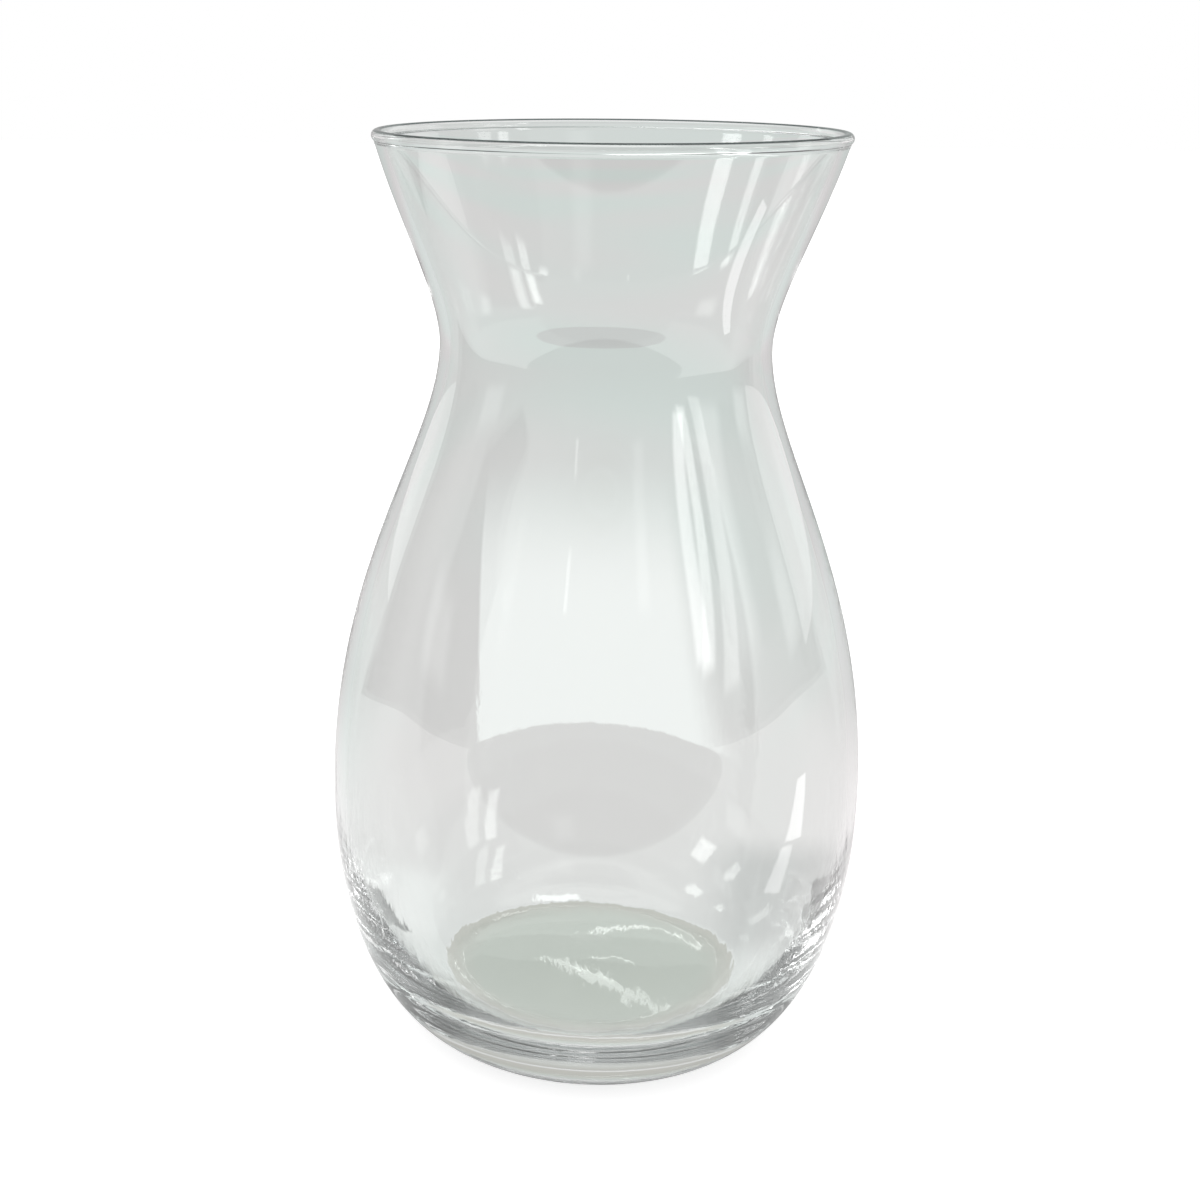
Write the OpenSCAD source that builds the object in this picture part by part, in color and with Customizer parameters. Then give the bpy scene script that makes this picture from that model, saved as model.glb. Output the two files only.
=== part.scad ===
// A clear glass vase: flared mouth, narrow neck, wide low belly, thick rounded heel and a flat floor.
// It is one wall of glass turned round the Z axis. The table is at Z = 0.

/* [Size] */
// Height from the table to the top of the rim
vase_h = 240; // [200:1:280]

/* [Mouth] */
// Outside diameter over the rim bead
mouth_d = 117; // [108:0.5:126]
// Thickness of the rounded, fire-polished rim bead
bead_d = 2.8; // [2.6:0.1:3.4]
// Wall thickness just under the bead
mouth_wall = 2.2; // [1.8:0.1:2.4]
// Lean of the flared wall from upright, in degrees, where it meets the bead
flare_angle = 16; // [10:0.5:24]
// How far the flare runs on in that lean before it starts to bend
flare_run = 20; // [10:0.5:26]

/* [Neck] */
// Outside diameter at the narrowest place
neck_d = 84; // [78:0.5:90]
// Height of the narrowest place
neck_z = 188; // [182:0.5:194]
// Wall thickness at the neck
neck_wall = 2.5; // [2:0.1:3]
// How far the neck stays upright above its narrowest place
neck_rise = 12; // [8:0.5:16]
// How far the neck stays upright below its narrowest place
neck_drop = 26.5; // [20:0.5:32]

/* [Belly] */
// Outside diameter at the widest place
belly_d = 142.5; // [134:0.5:150]
// Height of the widest place
belly_z = 65; // [58:0.5:70]
// Wall thickness at the belly
belly_wall = 3; // [2.4:0.1:3.6]
// How far the belly stays full above its widest place
belly_rise = 64.5; // [56:0.5:72]
// How far the belly stays full below its widest place
belly_drop = 38; // [32:0.5:44]

/* [Base] */
// Outside diameter of the ring that the vase stands on
foot_d = 84; // [76:0.5:90]
// How far the underside runs out nearly level before the heel turns up
foot_run = 15; // [10:0.5:18]
// Width of the flat ring that the vase stands on
ring_w = 3; // [2:0.1:4]
// Rise of the shallow hollow under the base, at its middle
push_up = 1; // [0.6:0.1:2]
// How far that hollow stays level round its middle and at its edge
push_run = 18; // [12:0.5:22]
// Thickness of the glass over the middle of that hollow
base_wall = 6; // [4:0.5:9]
// Diameter of the flat floor inside
floor_d = 72; // [66:0.5:76]
// How far the floor runs on nearly level before it turns up into the bowl
floor_turn = 13; // [8:0.5:16]
// How far the inside of the belly stays full below its widest place
bowl_drop = 38; // [32:0.5:44]

/* [Hidden] */
$fn = 144;

// Number of steps along each curve of the outline
curve_steps = 8;
// Number of steps round the rim bead
bead_steps = 8;

mouth_r = mouth_d / 2;
bead_r = bead_d / 2;
neck_r = neck_d / 2;
belly_r = belly_d / 2;
foot_r = foot_d / 2;
floor_r = floor_d / 2;
ring_r = foot_r - ring_w;
floor_z = push_up + base_wall;

// A cubic curve through p[0] and p[3], steered by p[1] and p[2]
function on_curve(p, t) =
    pow(1 - t, 3) * p[0] + 3 * pow(1 - t, 2) * t * p[1] + 3 * (1 - t) * t * t * p[2] + pow(t, 3) * p[3];

// Its direction at t, as a unit vector
function along_curve(p, t) =
    let (d = pow(1 - t, 2) * (p[1] - p[0]) + 2 * (1 - t) * t * (p[2] - p[1]) + t * t * (p[3] - p[2]))
    d / norm(d);

// The same point moved across the wall, to the inside, by the thickness there
function inside_curve(p, t, wall) = on_curve(p, t) + wall * across(along_curve(p, t));
function across(d) = [-d[1], d[0]];
function blend(a, b, t) = a + (b - a) * t * t * (3 - 2 * t);

steps = [for (i = [0 : curve_steps - 1]) i / curve_steps];
steps_down = [for (i = [curve_steps : -1 : 1]) i / curve_steps];

// Where the wall runs into the rim bead
lean = [sin(flare_angle), cos(flare_angle)];
out = [cos(flare_angle), -sin(flare_angle)];
bead_at = [mouth_r - bead_r, vase_h - bead_r];
bead_turn = acos(mouth_wall / bead_d);
wall_end = bead_at + mouth_wall / 2 * out - bead_r * sin(bead_turn) * lean;

// The three stretches of the outside, from the table up
heel = [[foot_r, 0], [foot_r + foot_run, 0], [belly_r, belly_z - belly_drop], [belly_r, belly_z]];
shoulder = [[belly_r, belly_z], [belly_r, belly_z + belly_rise], [neck_r, neck_z - neck_drop], [neck_r, neck_z]];
flare = [[neck_r, neck_z], [neck_r, neck_z + neck_rise], wall_end - flare_run * lean, wall_end];

// The inside of the belly, down to the flat floor
bowl = [
    [belly_r - belly_wall, belly_z],
    [belly_r - belly_wall, belly_z - bowl_drop],
    [floor_r + floor_turn, floor_z],
    [floor_r, floor_z]
];
// The hollow under the base
hollow = [[0, push_up], [push_run, push_up], [ring_r - push_run, 0], [ring_r, 0]];

outside = concat(
    [for (t = steps) on_curve(heel, t)],
    [for (t = steps) on_curve(shoulder, t)],
    [for (t = steps) on_curve(flare, t)]
);

bead = [
    for (i = [0 : bead_steps - 1])
        let (a = -flare_angle - bead_turn + (180 + 2 * bead_turn) * i / bead_steps)
        bead_at + bead_r * [cos(a), sin(a)]
];

inside = concat(
    [for (t = steps_down) inside_curve(flare, t, blend(neck_wall, mouth_wall, t))],
    [for (t = steps_down) inside_curve(shoulder, t, blend(belly_wall, neck_wall, t))],
    [for (t = steps) on_curve(bowl, t)],
    [[floor_r, floor_z], [0, floor_z]]
);

under = concat([for (t = steps) on_curve(hollow, t)], [[ring_r, 0]]);

module vase_body() {
    color([0.86, 0.92, 0.9, 0.45])
        rotate_extrude()
            polygon(concat(outside, bead, inside, under));
}

vase_body();
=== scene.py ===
import math
import bpy
import numpy as np
from mathutils import Matrix, Vector, noise


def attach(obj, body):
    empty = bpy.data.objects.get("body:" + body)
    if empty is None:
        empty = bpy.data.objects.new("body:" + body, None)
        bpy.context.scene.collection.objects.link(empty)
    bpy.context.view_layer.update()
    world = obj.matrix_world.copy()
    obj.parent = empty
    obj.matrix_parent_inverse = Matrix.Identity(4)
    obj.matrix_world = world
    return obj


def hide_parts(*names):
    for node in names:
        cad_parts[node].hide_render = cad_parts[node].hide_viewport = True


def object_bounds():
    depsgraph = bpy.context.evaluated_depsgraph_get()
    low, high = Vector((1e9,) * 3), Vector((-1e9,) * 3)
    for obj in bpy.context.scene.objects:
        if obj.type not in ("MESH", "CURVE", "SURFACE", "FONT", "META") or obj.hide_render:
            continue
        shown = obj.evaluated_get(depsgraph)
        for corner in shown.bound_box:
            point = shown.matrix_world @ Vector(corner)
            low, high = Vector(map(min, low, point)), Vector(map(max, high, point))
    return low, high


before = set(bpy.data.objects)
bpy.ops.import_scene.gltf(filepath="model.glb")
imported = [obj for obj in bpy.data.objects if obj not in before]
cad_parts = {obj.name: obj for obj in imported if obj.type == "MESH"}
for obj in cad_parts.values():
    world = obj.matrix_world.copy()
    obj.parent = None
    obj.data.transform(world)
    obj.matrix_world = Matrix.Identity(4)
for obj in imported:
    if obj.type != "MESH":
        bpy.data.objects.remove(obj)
cad_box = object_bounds()

MM = 0.001
ON_AXIS = 1e-6
PHOTO_PX = 1200

# The outline as the construction has it, in millimetres and degrees
VASE_H = cad_box[1].z / MM
MOUTH_D, BEAD_D, MOUTH_WALL, FLARE_ANGLE, FLARE_RUN = 117, 2.8, 2.2, 16, 20
NECK_D, NECK_Z, NECK_WALL, NECK_RISE, NECK_DROP = 84, 188, 2.5, 12, 26.5
BELLY_D, BELLY_Z, BELLY_WALL, BELLY_RISE, BELLY_DROP = 142.5, 65, 3, 64.5, 38
FOOT_D, FOOT_RUN, RING_W, PUSH_UP, PUSH_RUN = 84, 15, 3, 1, 18
BASE_WALL, FLOOR_D, FLOOR_TURN, BOWL_DROP = 6, 72, 13, 38
CURVE_STEPS, BEAD_STEPS, FLOOR_STEPS, ROUND_STEPS = 60, 20, 24, 384

# The inside of moulded glass isn't quite true: the height of its waves and their length. They are
# stronger at the right of the vase than at the left.
WAVE_BELLY, WAVE_HEEL, WAVE_LONG = 0.02, 0.07, 11
WAVE_MEAN, WAVE_TO_RIGHT = 0.55, 0.5

# The glass: its colour, painted shade on the very top of the lip, and fine ripples on the lower belly
CLEAR = (0.958, 0.973, 0.964, 1)
GLASS_IOR = 1.52
RIM_SHADE, RIM_SHADE_DEEP, RIM_SHADE_SOFT = (0.03, 0.04, 0.04, 1), 0.5, 0.2
RIPPLE, RIPPLE_SCALE, RIPPLE_STRETCH, RIPPLE_HIGH = 0.5, 250, 0.4, 0.1
RIPPLE_LOW_Z, RIPPLE_TOP_Z, RIPPLE_SOFT = 25, 75, 15
IN_SHADOW = (0.96, 0.965, 0.963, 1)
BOUNCES = 120

# The camera as the photograph has it, in pixels, millimetres and degrees
FOCAL_PX, SHIFT_PX = 1704, 112
CAMERA_BACK, CAMERA_UP = 432.2, 261.3
PITCH, ROLL, YAW = 18.3, 0.3, 3.9

# From here on: what the glass shows of the room. Brightness 1 is white. Azimuths are in degrees
# from the camera's side, rising to the right, elevations from level, places on the table in metres.

# The room: the lamp light on all that isn't glass, the room's dark side behind the camera, as the
# glass mirrors it and as it shows through, the pale backdrop with darkness above, and the ceiling
LAMP = 0.95
ROOM, ROOM_SEEN = 0.12, 0.45
BACKDROP, BACKDROP_LEFT, BACKDROP_RIGHT, BACKDROP_TOP, BACKDROP_SOFT = 0.74, -118, 108, 24, 0.5
OVERHEAD = 0.08
CEILING, CEILING_LOW, CEILING_SOFT = 1.0, 58, 3

# How much brighter the backdrop and the table are where the outside of the glass mirrors them, how
# much darker where it does so at a grazing angle, and where that begins: in azimuth and on the table
MIRRORED, GRAZED = 1.7, 0.7
GRAZING, GRAZING_SOFT = 158, 8
GRAZED_NEAR, GRAZED_FAR = 0.0, 0.3

# Large faint clouds of colour
PINKISH, GREENISH = (1.0, 0.97, 0.975, 1), (0.94, 1.0, 0.98, 1)
CLOUD_LOW, CLOUD_HIGH = 0.38, 0.62
ROOM_CLOUDS, TABLE_CLOUDS = 1.6, 1.7

# The table: its brightness near and far, its edges, with a bowed front and sides that turn in
# behind the vase, and the pale floor that spreads out behind it
TABLE, TABLE_FAR, FAR_FROM, FAR_TO = 0.8, 0.72, 0.5, 1.0
TABLE_LEFT, TABLE_RIGHT, TABLE_FRONT, TABLE_BOW, TABLE_SOFT = -0.95, 1.42, -0.3, -0.5, 0.008
TURN, TURN_LEFT_Y, TURN_RIGHT_Y = 3.5, 0.15, 0.05
SPREAD, SPREAD_SOFT = 0.53, 0.01
TABLE_HALF, TABLE_DOWN = 4, 0.05

# The pool of light on the table behind the vase, and a darker oval far behind it
POOL, POOL_LEFT, POOL_SLANT, POOL_LEFT_SOFT = 1.04, -0.0305, -0.1, 0.001
POOL_RIGHT, POOL_RIGHT_SOFT = 0.05, 0.01
POOL_NEAR, POOL_BOW, POOL_NEAR_SOFT = 0.199, -11, 0.002
POOL_FADE, POOL_FAR = 0.35, 0.66
FAR_OVAL, FAR_OVAL_HALF, FAR_OVAL_SHADE, FAR_OVAL_SOFT = (-0.006, 1.115), (0.08, 0.052), 0.6, 0.04

# The shaded disc under the vase and its edge, the pale line round it, which is a painted highlight,
# and the shadow round that, which shows through the glass only in front
UNDER_R, UNDER_BACK, UNDER_RIM, UNDER_EDGE_FROM = 0.045, 0.002, 0.0006, 0.032
UNDER, UNDER_EDGE = (0.55, 0.58, 0.535, 1), (0.56, 0.55, 0.51, 1)
HIGHLIGHT_LINE_R, HIGHLIGHT_LINE = 0.046, 0.8
SHADOW, SHADOW_FROM, SHADOW_TO = (0.5, 0.49, 0.46, 1), 0.046, 0.053
SHADOW_FRONT, SHADOW_BACK = -0.04, -0.01
MIRROR_SHADOW, MIRROR_SHADOW_TO = 0.3, 0.09

# The floor for the camera: the light that it gives, and the share of lamp light that it returns
PALE_FLOOR, FLOOR_ALBEDO = 0.7, 0.8

# Painted shadow and light on the table that show through the glass, with dark and bright patches:
# left, right, near, far, lean, soft edge, brightness. Later ones lie on earlier ones.
SHADE_LIGHT_AND_PATCHES_THROUGH = [
    # a painted shadow of the vase, falling to the right
    (0.045, 0.125, 0.01, 0.085, 0.0, 0.015, 0.56),
    # painted light on the left of the table
    (-0.105, -0.05, 0.01, 0.06, 0.0, 0.012, 0.9),
    (-0.09, -0.055, 0.01, 0.036, -0.5, 0.001, 0.05),
    (-0.09, -0.055, 0.038, 0.043, -0.5, 0.001, 1.3),
    (0.078, 0.12, -0.01, 0.056, 0.0, 0.001, 0.03),
    # a painted highlight just past the shaded disc
    (-0.018, -0.004, 0.0475, 0.052, 0.0, 0.0008, 1.1),
]

# Lit things on the table that the outside mirrors: near, far, left, right, and the same
THINGS_MIRRORED = [
    (-0.108, -0.072, 0.236, 0.4, 0.2, 0.003, 4.5),
    (-0.114, -0.09, 0.16, 0.228, 0.2, 0.003, 4.0),
]

# What shows of the room through the glass: the low part of its dark side, dark furniture and
# then windows. Left, right, low, high, lean, soft edge, brightness.
WINDOWS_THROUGH = [
    (BACKDROP_LEFT, BACKDROP_RIGHT, -12, 46, 0.0, 1.0, ROOM_SEEN),
    (58, 100, 4, 27, 0.0, 2.0, 0.1),
    (48, 112, 27, 44, 0.0, 0.5, 0.03),
    (48, 79, 20, 30, 0.0, 0.5, 0.03),
    (120, 165, 22, 44, 0.0, 0.5, 0.03),
    (-116, -100, 20, 46, 0.0, 0.5, 0.03),
    (57.5, 66, 3, 27, 0.5, 1.2, 3.0),
    (46, 52.5, 7, 29, 0.5, 1.2, 5.0),
    (99, 109, -1, 8, 0.0, 2.5, 1.8),
    (-88, -72, 0, 10, -0.35, 3.0, 1.8),
    (-76, -65, 23, 34, 0.0, 1.2, 7.0),
    (-97, -91, 20, 30, 0.0, 1.0, 5.0),
    (-134, -128, 6, 22, 0.0, 1.5, 3.0),
    (12, 24, 28, 42, 0.0, 4.0, 1.4),
]

# Narrow lights on the far side, with azimuths from there, rising to the left
LIGHTS_BEHIND = [
    (25.2, 26.8, 29.5, 40.5, -0.8, 0.4, 3.5),
    (-24.2, -22.9, 18.5, 23.5, 1.0, 0.3, 4.5),
    (2.6, 3.6, 18, 25, -0.5, 0.3, 4.5),
]

# Windows that the outside of the glass mirrors, as those that show through it
WINDOWS_MIRRORED = [
    (46, 53, 10, 26, 0.0, 1.5, 5.0),
    (64, 80, 6, 22, 0.0, 4.0, 2.0),
    (20, 26, 20, 28, 0.0, 2.0, 1.0),
    (-17, -15.5, 20, 26, 0.0, 0.8, 2.5),
]


def make_camera():
    data = bpy.data.cameras.new("camera")
    data.sensor_width = 36
    data.lens = FOCAL_PX / PHOTO_PX * data.sensor_width
    data.shift_x = SHIFT_PX / PHOTO_PX
    data.clip_start = 0.01
    data.clip_end = 100
    camera = bpy.data.objects.new("camera", data)
    bpy.context.scene.collection.objects.link(camera)
    place = Matrix.Translation((0, -CAMERA_BACK * MM, CAMERA_UP * MM))
    pan = Matrix.Rotation(math.radians(YAW), 4, "Z")
    tilt = Matrix.Rotation(math.radians(90 - PITCH), 4, "X")
    camera.matrix_world = place @ pan @ tilt @ Matrix.Rotation(math.radians(ROLL), 4, "Z")
    bpy.context.scene.camera = camera


def on_curve(p, t):
    """Points of the cubic curve through p[0] and p[3], steered by p[1] and p[2]."""
    p = np.array(p, float)
    t = t[:, None]
    return (1 - t) ** 3 * p[0] + 3 * (1 - t) ** 2 * t * p[1] + 3 * (1 - t) * t * t * p[2] + t**3 * p[3]


def across(p, t):
    """Unit steps from that curve to the inside of the wall."""
    p = np.array(p, float)
    t = t[:, None]
    d = (1 - t) ** 2 * (p[1] - p[0]) + 2 * (1 - t) * t * (p[2] - p[1]) + t * t * (p[3] - p[2])
    d /= np.linalg.norm(d, axis=1)[:, None]
    return np.stack([-d[:, 1], d[:, 0]], 1)


def blend(a, b, t):
    """Smooth change from a to b, as a column."""
    return (a + (b - a) * t * t * (3 - 2 * t))[:, None]


def profile():
    """The closed outline of the wall as radius and height, up the outside and down the inside,
    and how far each of its points may be moved by the waves of the inside surface."""
    neck_r, belly_r, foot_r, floor_r = NECK_D / 2, BELLY_D / 2, FOOT_D / 2, FLOOR_D / 2
    bead_r, floor_z, ring_r = BEAD_D / 2, PUSH_UP + BASE_WALL, FOOT_D / 2 - RING_W
    angle = math.radians(FLARE_ANGLE)
    lean = np.array([math.sin(angle), math.cos(angle)])
    out = np.array([math.cos(angle), -math.sin(angle)])
    bead_at = np.array([MOUTH_D / 2 - bead_r, VASE_H - bead_r])
    turn = math.acos(MOUTH_WALL / BEAD_D)
    end = bead_at + MOUTH_WALL / 2 * out - bead_r * math.sin(turn) * lean

    full = belly_r, BELLY_Z
    thin = neck_r, NECK_Z
    inner_r = belly_r - BELLY_WALL
    heel = [(foot_r, 0), (foot_r + FOOT_RUN, 0), (belly_r, BELLY_Z - BELLY_DROP), full]
    shoulder = [full, (belly_r, BELLY_Z + BELLY_RISE), (neck_r, NECK_Z - NECK_DROP), thin]
    flare = [thin, (neck_r, NECK_Z + NECK_RISE), end - FLARE_RUN * lean, end]
    bowl = [
        (inner_r, BELLY_Z),
        (inner_r, BELLY_Z - BOWL_DROP),
        (floor_r + FLOOR_TURN, floor_z),
        (floor_r, floor_z),
    ]
    hollow = [(0, PUSH_UP), (PUSH_RUN, PUSH_UP), (ring_r - PUSH_RUN, 0), (ring_r, 0)]

    t = np.linspace(0, 1, CURVE_STEPS + 1)
    up = t[:-1]
    down = t[::-1][:-1]
    a = -angle - turn + (math.pi + 2 * turn) * np.arange(BEAD_STEPS) / BEAD_STEPS
    bead = bead_at + bead_r * np.stack([np.cos(a), np.sin(a)], 1)
    flat = np.linspace(1, 0, FLOOR_STEPS)[:, None] * [floor_r, 0] + [0, floor_z]
    below = np.concatenate([on_curve(hollow, up), [(ring_r, 0)]])
    outline = np.concatenate([
        on_curve(heel, up),
        on_curve(shoulder, up),
        on_curve(flare, up),
        bead,
        on_curve(flare, down) + blend(NECK_WALL, MOUTH_WALL, down) * across(flare, down),
        on_curve(shoulder, down) + blend(BELLY_WALL, NECK_WALL, down) * across(shoulder, down),
        on_curve(bowl, up),
        flat,
        below,
    ])

    # The outside and the flare are still. The waves are highest half-way down the bowl.
    still = np.zeros((4 * CURVE_STEPS + BEAD_STEPS, 2))
    in_bowl = WAVE_BELLY + (WAVE_HEEL - WAVE_BELLY) * 4 * up * (1 - up)
    waves = np.concatenate([
        still,
        blend(WAVE_BELLY, 0, down) * across(shoulder, down),
        in_bowl[:, None] * across(bowl, up),
        np.tile([0, WAVE_BELLY], (FLOOR_STEPS, 1)),
        np.zeros_like(below),
    ])
    return outline, waves


def revolve(name, outline, waves, around):
    """The solid that the outline makes when it is turned round the axis, moved by its waves."""
    verts, faces, rings = [], [], []
    for (r, z), (wave_r, wave_z) in zip(outline, waves):
        count = 1 if r < ON_AXIS else around
        rings.append([len(verts) + k % count for k in range(around)])
        for k in range(count):
            a = 2 * math.pi * k / around
            x, y = math.cos(a), math.sin(a)
            high = noise.noise(Vector((r * x, r * y, z)) / WAVE_LONG) * (WAVE_MEAN + WAVE_TO_RIGHT * x)
            far = r + wave_r * high
            verts.append((far * x * MM, far * y * MM, (z + wave_z * high) * MM))
    for low, high in zip(rings, rings[1:] + rings[:1]):
        for k in range(around):
            n = (k + 1) % around
            corners = list(dict.fromkeys((low[k], low[n], high[n], high[k])))
            if len(corners) > 2:
                faces.append(corners)
    mesh = bpy.data.meshes.new(name)
    mesh.from_pydata(verts, [], faces)
    mesh.validate()
    for face in mesh.polygons:
        face.use_smooth = True
    ob = bpy.data.objects.new(name, mesh)
    bpy.context.scene.collection.objects.link(ob)
    return ob


class Nodes:
    """Adds nodes to one tree, with numbers, colours or sockets as their inputs."""

    MIX_A, MIX_B, MIX_RESULT = 6, 7, 2

    def __init__(self, tree):
        self.tree = tree

    def add(self, kind, **settings):
        node = self.tree.nodes.new(kind)
        for name, value in settings.items():
            setattr(node, name, value)
        return node

    def put(self, socket, value):
        if isinstance(value, bpy.types.NodeSocket):
            self.tree.links.new(value, socket)
        elif isinstance(value, float) and socket.type == "RGBA":
            socket.default_value = (value, value, value, 1)
        else:
            socket.default_value = value

    def math(self, operation, a, b=0.0, clamp=False):
        node = self.add("ShaderNodeMath", operation=operation, use_clamp=clamp)
        self.put(node.inputs[0], a)
        self.put(node.inputs[1], b)
        return node.outputs[0]

    def rise(self, x, low, high):
        """0 below low, 1 above high, smooth between them."""
        node = self.add("ShaderNodeMapRange", interpolation_type="SMOOTHSTEP")
        self.put(node.inputs["Value"], x)
        node.inputs["From Min"].default_value = low
        node.inputs["From Max"].default_value = high
        return node.outputs["Result"]

    def edge(self, x, at, soft):
        """0 before a place and 1 past it, with a soft edge."""
        return self.rise(x, at - soft, at + soft)

    def band(self, x, low, high, soft):
        """1 between two places, with soft edges."""
        return self.math("SUBTRACT", self.edge(x, low, soft), self.edge(x, high, soft), clamp=True)

    def bowed(self, x, y, bow):
        """y, less the square of x times bow."""
        return self.math("SUBTRACT", y, self.math("MULTIPLY", self.math("MULTIPLY", x, x), bow))

    def away(self, x, y, middle, half):
        """How far out a place is from the middle of an oval: 1 at its edge."""
        x = self.math("DIVIDE", self.math("SUBTRACT", x, middle[0]), half[0])
        y = self.math("DIVIDE", self.math("SUBTRACT", y, middle[1]), half[1])
        squares = self.math("ADD", self.math("MULTIPLY", x, x), self.math("MULTIPLY", y, y))
        return self.math("SQRT", squares)

    def mix(self, share, a, b, kind="MIX"):
        node = self.add("ShaderNodeMix", data_type="RGBA", blend_type=kind)
        self.put(node.inputs["Factor"], share)
        self.put(node.inputs[self.MIX_A], a)
        self.put(node.inputs[self.MIX_B], b)
        return node.outputs[self.MIX_RESULT]

    def where(self, kind):
        """Object or Generated coordinates, and their three parts."""
        place = self.add("ShaderNodeTexCoord").outputs[kind]
        parts = self.add("ShaderNodeSeparateXYZ")
        self.put(parts.inputs[0], place)
        return place, parts.outputs[0], parts.outputs[1], parts.outputs[2]

    def mottled(self, place, scale, colour):
        """That colour with large, faint pinkish and greenish clouds."""
        cloud = self.add("ShaderNodeTexNoise")
        self.put(cloud.inputs["Vector"], place)
        cloud.inputs["Scale"].default_value = scale
        cloud.inputs["Detail"].default_value = 1.0
        tint = self.mix(self.rise(cloud.outputs[0], CLOUD_LOW, CLOUD_HIGH), PINKISH, GREENISH)
        return self.mix(1.0, colour, tint, "MULTIPLY")

    def patches(self, across, up, colour, rows):
        """That colour with four-sided patches, whose sides lean by so much across for each step up."""
        for left, right, low, high, lean, soft, bright in rows:
            leaning = self.math("SUBTRACT", across, self.math("MULTIPLY", up, lean))
            wide = self.band(leaning, left, right, soft)
            tall = self.band(up, low, high, soft)
            colour = self.mix(self.math("MULTIPLY", wide, tall), colour, bright)
        return colour


def ripples(n, place, z):
    """Fine scratches and ripples on the lower belly, taller than wide."""
    stretch = n.add("ShaderNodeVectorMath", operation="MULTIPLY")
    n.put(stretch.inputs[0], place)
    stretch.inputs[1].default_value = (1, 1, RIPPLE_STRETCH)
    ripple = n.add("ShaderNodeTexNoise")
    n.put(ripple.inputs["Vector"], stretch.outputs[0])
    ripple.inputs["Scale"].default_value = RIPPLE_SCALE
    ripple.inputs["Detail"].default_value = 3.0
    low_belly = n.band(z, RIPPLE_LOW_Z * MM, RIPPLE_TOP_Z * MM, RIPPLE_SOFT * MM)
    bump = n.add("ShaderNodeBump")
    n.put(bump.inputs["Height"], n.math("MULTIPLY", ripple.outputs[0], low_belly))
    bump.inputs["Strength"].default_value = RIPPLE
    bump.inputs["Distance"].default_value = RIPPLE_HIGH * MM
    return bump.outputs[0]


def glass():
    m = bpy.data.materials.new("clear_glass")
    m.use_nodes = True
    n = Nodes(m.node_tree)
    base = m.node_tree.nodes["Principled BSDF"]
    place, x, y, z = n.where("Object")
    # Painted shade: a dark line along the very top of the lip, for the dark edge that the bead shows
    rim_shade = n.rise(z, (VASE_H - RIM_SHADE_DEEP) * MM, (VASE_H - RIM_SHADE_DEEP + RIM_SHADE_SOFT) * MM)
    n.put(base.inputs["Base Color"], n.mix(rim_shade, CLEAR, RIM_SHADE))
    n.put(base.inputs["Normal"], ripples(n, place, z))
    base.inputs["Roughness"].default_value = 0.0
    base.inputs["IOR"].default_value = GLASS_IOR
    base.inputs["Transmission Weight"].default_value = 1

    # Light passes the glass almost straight, so its shadow is pale
    clear = n.add("ShaderNodeBsdfTransparent")
    clear.inputs["Color"].default_value = IN_SHADOW
    mix = n.add("ShaderNodeMixShader")
    n.put(mix.inputs[0], n.add("ShaderNodeLightPath").outputs["Is Shadow Ray"])
    n.put(mix.inputs[1], base.outputs[0])
    n.put(mix.inputs[2], clear.outputs[0])
    n.put(m.node_tree.nodes["Material Output"].inputs["Surface"], mix.outputs[0])
    return m


def make_world():
    """White for the camera, plain lamp light for the surfaces, and the room for the glass."""
    world = bpy.data.worlds.new("studio")
    bpy.context.scene.world = world
    world.use_nodes = True
    n = Nodes(world.node_tree)
    way, x, y, z = n.where("Generated")
    degrees = 180 / math.pi
    az = n.math("MULTIPLY", n.math("ARCTAN2", x, n.math("MULTIPLY", y, -1.0)), degrees)
    az_far = n.math("MULTIPLY", n.math("ARCTAN2", n.math("MULTIPLY", x, -1.0), y), degrees)
    el = n.math("MULTIPLY", n.math("ARCSINE", z), degrees)

    near_side = n.band(az, BACKDROP_LEFT, BACKDROP_RIGHT, BACKDROP_SOFT)
    backdrop = n.mix(n.edge(el, BACKDROP_TOP, BACKDROP_SOFT), BACKDROP, OVERHEAD)
    room = n.mottled(way, ROOM_CLOUDS, n.mix(near_side, backdrop, ROOM))
    through = n.mix(n.edge(el, CEILING_LOW, CEILING_SOFT), room, CEILING)
    through = n.patches(az, el, through, WINDOWS_THROUGH)
    through = n.patches(az_far, el, through, LIGHTS_BEHIND)
    shine = n.mix(n.band(az, -GRAZING, GRAZING, GRAZING_SOFT), GRAZED, MIRRORED)
    mirrored = n.mix(near_side, n.mix(1.0, room, shine, "MULTIPLY"), room)
    mirrored = n.patches(az, el, mirrored, WINDOWS_MIRRORED)

    path = n.add("ShaderNodeLightPath")
    colour = n.mix(path.outputs["Is Glossy Ray"], LAMP, mirrored)
    colour = n.mix(path.outputs["Is Transmission Ray"], colour, through)
    colour = n.mix(path.outputs["Is Camera Ray"], colour, 1.0)
    n.put(world.node_tree.nodes["Background"].inputs["Color"], colour)


def on_board(n, x, y):
    """1 on the table and on the pale floor behind it."""
    front = n.edge(n.bowed(x, y, TABLE_BOW), TABLE_FRONT, TABLE_SOFT)
    past_left = n.math("MAXIMUM", n.math("ADD", y, TURN_LEFT_Y), 0.0)
    past_right = n.math("MAXIMUM", n.math("ADD", y, TURN_RIGHT_Y), 0.0)
    left = n.edge(n.bowed(past_left, x, TURN), TABLE_LEFT, TABLE_SOFT)
    right = n.edge(n.bowed(past_right, x, -TURN), TABLE_RIGHT, TABLE_SOFT)
    board = n.math("MULTIPLY", n.math("SUBTRACT", left, right, clamp=True), front)
    behind = n.math("SUBTRACT", y, n.math("MULTIPLY", n.math("ABSOLUTE", x), SPREAD))
    return n.math("MAXIMUM", board, n.edge(behind, 0.0, SPREAD_SOFT))


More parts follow.
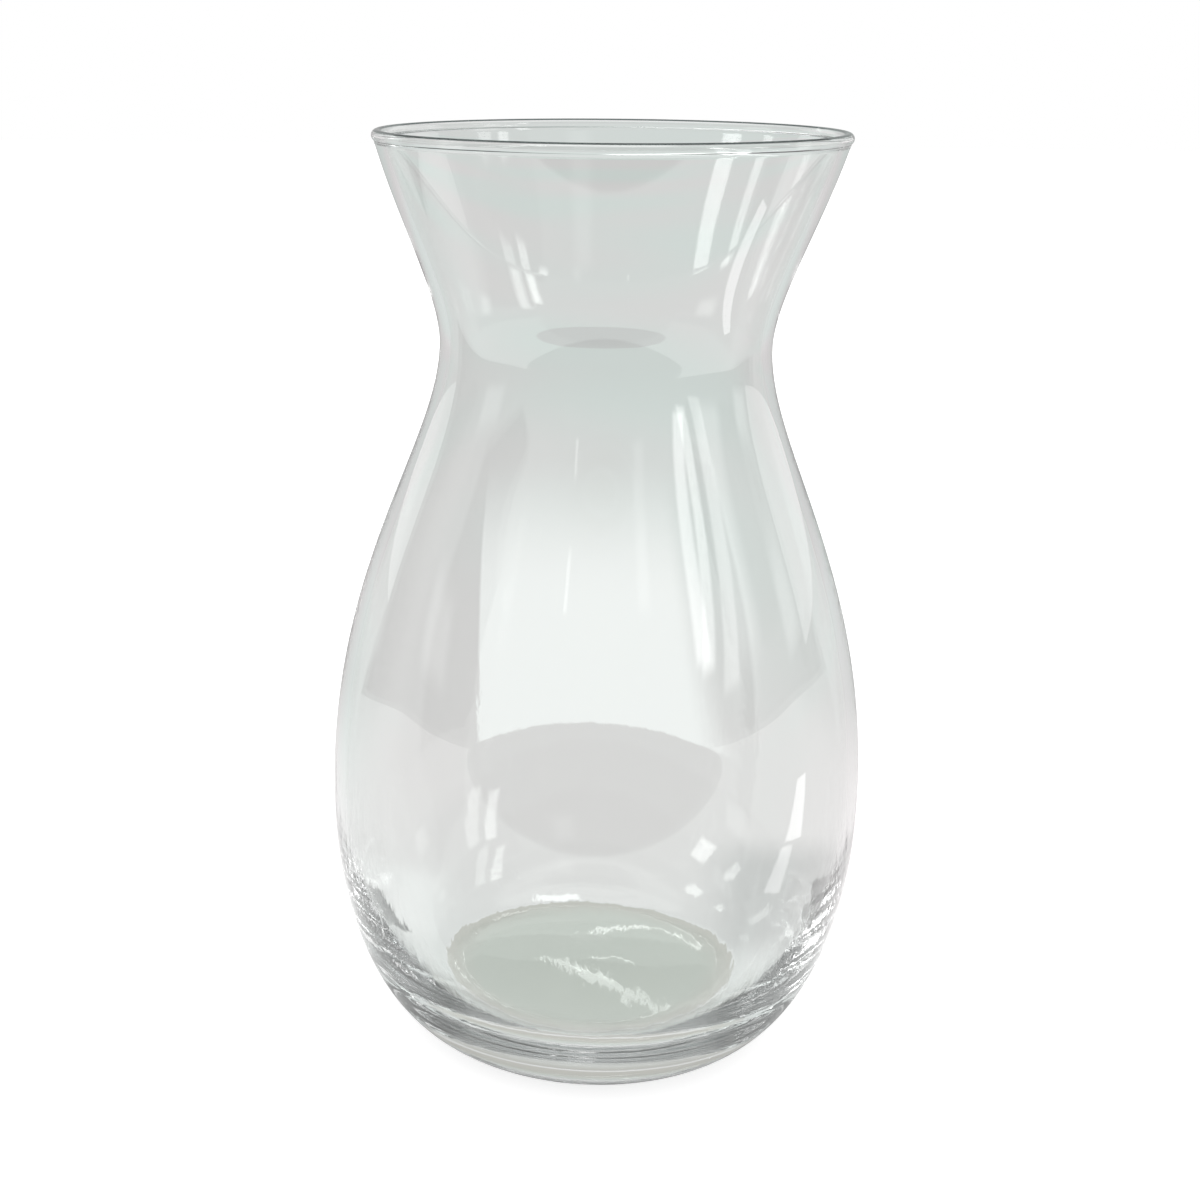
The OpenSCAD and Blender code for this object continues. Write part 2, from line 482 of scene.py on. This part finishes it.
def in_pool(n, x, y):
    """1 in the pool of light behind the vase, fading away from it."""
    slanted = n.math("SUBTRACT", x, n.math("MULTIPLY", y, POOL_SLANT))
    left = n.edge(slanted, POOL_LEFT, POOL_LEFT_SOFT)
    side = n.math("SUBTRACT", left, n.edge(x, POOL_RIGHT, POOL_RIGHT_SOFT))
    near = n.edge(n.bowed(x, y, POOL_BOW), POOL_NEAR, POOL_NEAR_SOFT)
    depth = n.math("SUBTRACT", near, n.rise(y, POOL_FADE, POOL_FAR))
    return n.math("MULTIPLY", side, depth, clamp=True)


def make_floor():
    """The pale floor for the camera, and for the glass the table with the light, shade and patches
    painted on it.
    """
    s = TABLE_HALF
    mesh = bpy.data.meshes.new("floor")
    mesh.from_pydata([(-s, -s, 0), (s, -s, 0), (s, s, 0), (-s, s, 0)], [], [(0, 1, 2, 3)])
    ob = bpy.data.objects.new("floor", mesh)
    ob.location.z = -TABLE_DOWN * MM
    bpy.context.scene.collection.objects.link(ob)
    m = bpy.data.materials.new("floor")
    m.use_nodes = True
    n = Nodes(m.node_tree)
    place, x, y, z = n.where("Object")

    board = on_board(n, x, y)
    wood = n.mottled(place, TABLE_CLOUDS, n.mix(n.rise(y, FAR_FROM, FAR_TO), TABLE, TABLE_FAR))
    seen = n.mix(board, ROOM_SEEN, wood)
    oval = n.edge(n.away(x, y, FAR_OVAL, FAR_OVAL_HALF), 1, FAR_OVAL_SOFT)
    seen = n.mix(oval, FAR_OVAL_SHADE, seen)
    # The pool of light, then painted shadow, light and highlight and the dark and bright patches
    seen = n.patches(x, y, n.mix(in_pool(n, x, y), seen, POOL), SHADE_LIGHT_AND_PATCHES_THROUGH)
    shine = n.mix(n.rise(y, GRAZED_NEAR, GRAZED_FAR), MIRRORED, GRAZED)
    mirrored = n.mix(board, ROOM, n.mix(1.0, wood, shine, "MULTIPLY"))
    mirrored = n.patches(y, x, mirrored, THINGS_MIRRORED)

    # The shaded disc under the vase, the pale line round it, a painted highlight, and the shadow round
    # that
    r = n.away(x, y, (0.0, UNDER_BACK), (1.0, 1.0))
    lit = n.math("MAXIMUM", n.rise(r, SHADOW_FROM, SHADOW_TO), n.rise(y, SHADOW_FRONT, SHADOW_BACK))
    seen = n.mix(lit, SHADOW, seen)
    seen = n.mix(n.rise(r, HIGHLIGHT_LINE_R, HIGHLIGHT_LINE_R + UNDER_RIM), HIGHLIGHT_LINE, seen)
    under = n.mix(n.rise(r, UNDER_EDGE_FROM, UNDER_R), UNDER, UNDER_EDGE)
    seen = n.mix(n.rise(r, UNDER_R, UNDER_R + UNDER_RIM), under, seen)
    mirrored = n.mix(n.rise(r, SHADOW_FROM, MIRROR_SHADOW_TO), MIRROR_SHADOW, mirrored)

    path = n.add("ShaderNodeLightPath")
    glossy = path.outputs["Is Glossy Ray"]
    through = path.outputs["Is Transmission Ray"]
    by_glass = n.math("MAXIMUM", glossy, through)
    base = m.node_tree.nodes["Principled BSDF"]
    base.inputs["Roughness"].default_value = 1
    base.inputs["Specular IOR Level"].default_value = 0
    base.inputs["Emission Strength"].default_value = 1
    n.put(base.inputs["Base Color"], n.mix(by_glass, FLOOR_ALBEDO, 0.0))
    n.put(base.inputs["Emission Color"], n.mix(through, n.mix(glossy, PALE_FLOOR, mirrored), seen))
    mesh.materials.append(m)


make_camera()
make_world()
make_floor()
outline, waves = profile()
vase = revolve("vase_glass", outline, waves, ROUND_STEPS)
vase.data.materials.append(glass())
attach(vase, "root")
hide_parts("vase_body")
scene = bpy.context.scene
scene.view_settings.view_transform = "Standard"
scene.cycles.max_bounces = BOUNCES
scene.cycles.transmission_bounces = BOUNCES
scene.cycles.glossy_bounces = BOUNCES
scene.cycles.caustics_reflective = False
scene.cycles.caustics_refractive = False
